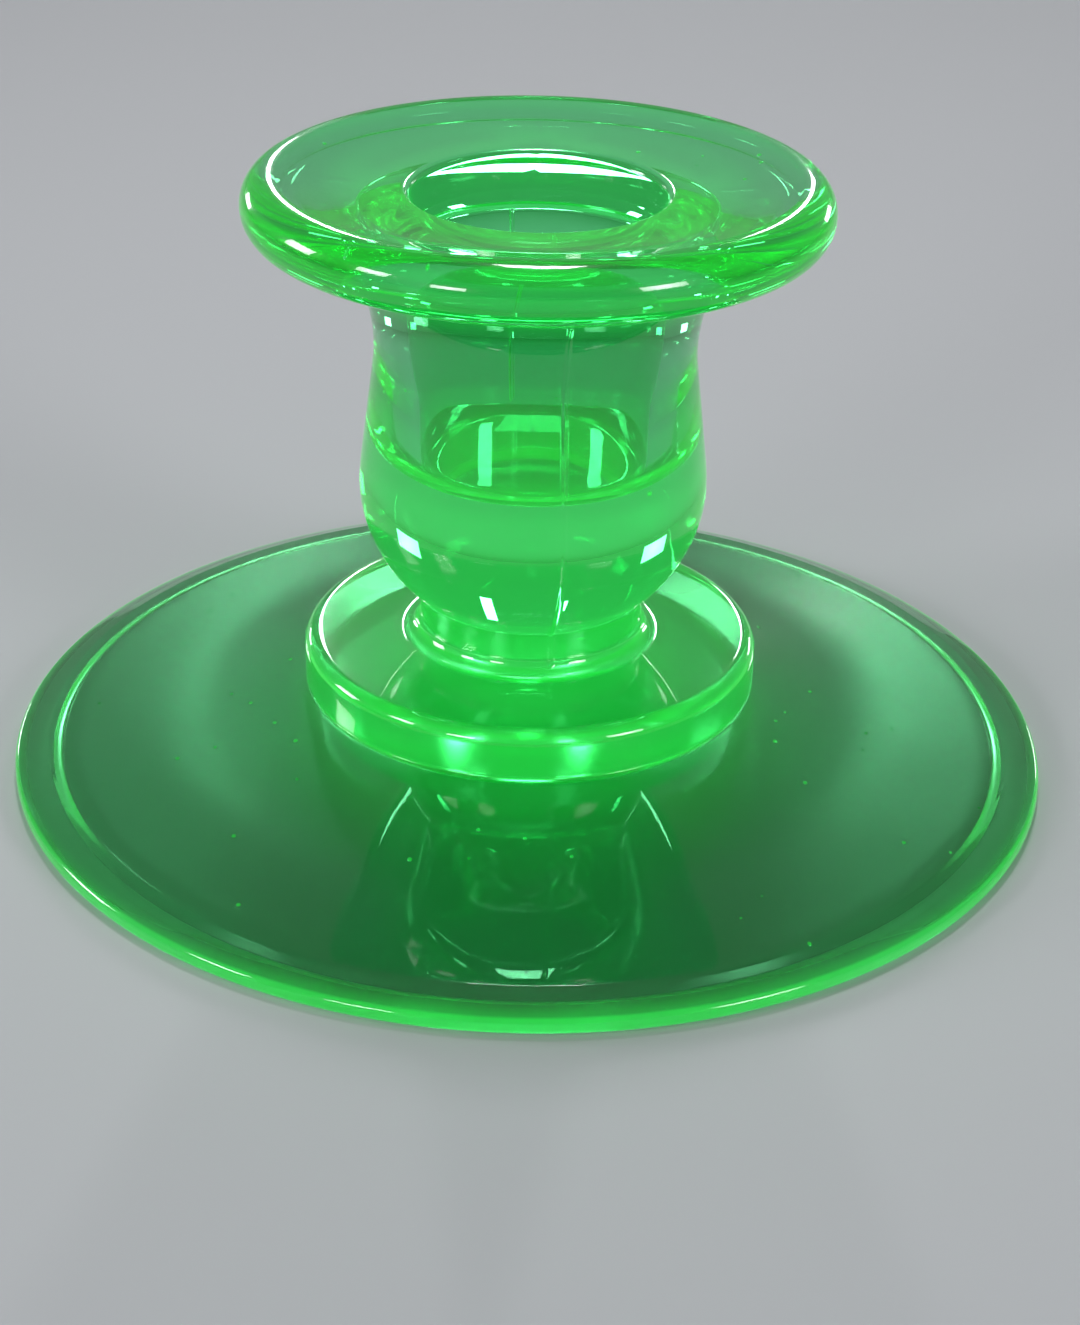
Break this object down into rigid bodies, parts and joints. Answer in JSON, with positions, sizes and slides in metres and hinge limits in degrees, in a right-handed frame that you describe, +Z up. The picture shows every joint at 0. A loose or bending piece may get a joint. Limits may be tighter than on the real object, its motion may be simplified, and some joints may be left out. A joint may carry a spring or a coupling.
{
  "type": "glass candlestick",
  "caption": "Low green glass candlestick: wide round foot, collar, short neck, socketed cup and flared drip rim.",
  "frame": {"origin": "on the table, under the centre of the round foot", "axes": "+Z up along the axis of the candle socket; the shape is turned about Z, with the mould seams near -Y and +Y"},
  "size_m": [0.1016, 0.1016, 0.0589],
  "materials": {
    "uranium_glass": "fire polished, transparent yellow-green, edges glow bright green"
  },
  "bodies": {
    "root": {"foot": "uranium_glass", "foot_collar": "uranium_glass", "neck": "uranium_glass", "candle_cup": "uranium_glass", "drip_rim": "uranium_glass"}
  },
  "joints": []
}
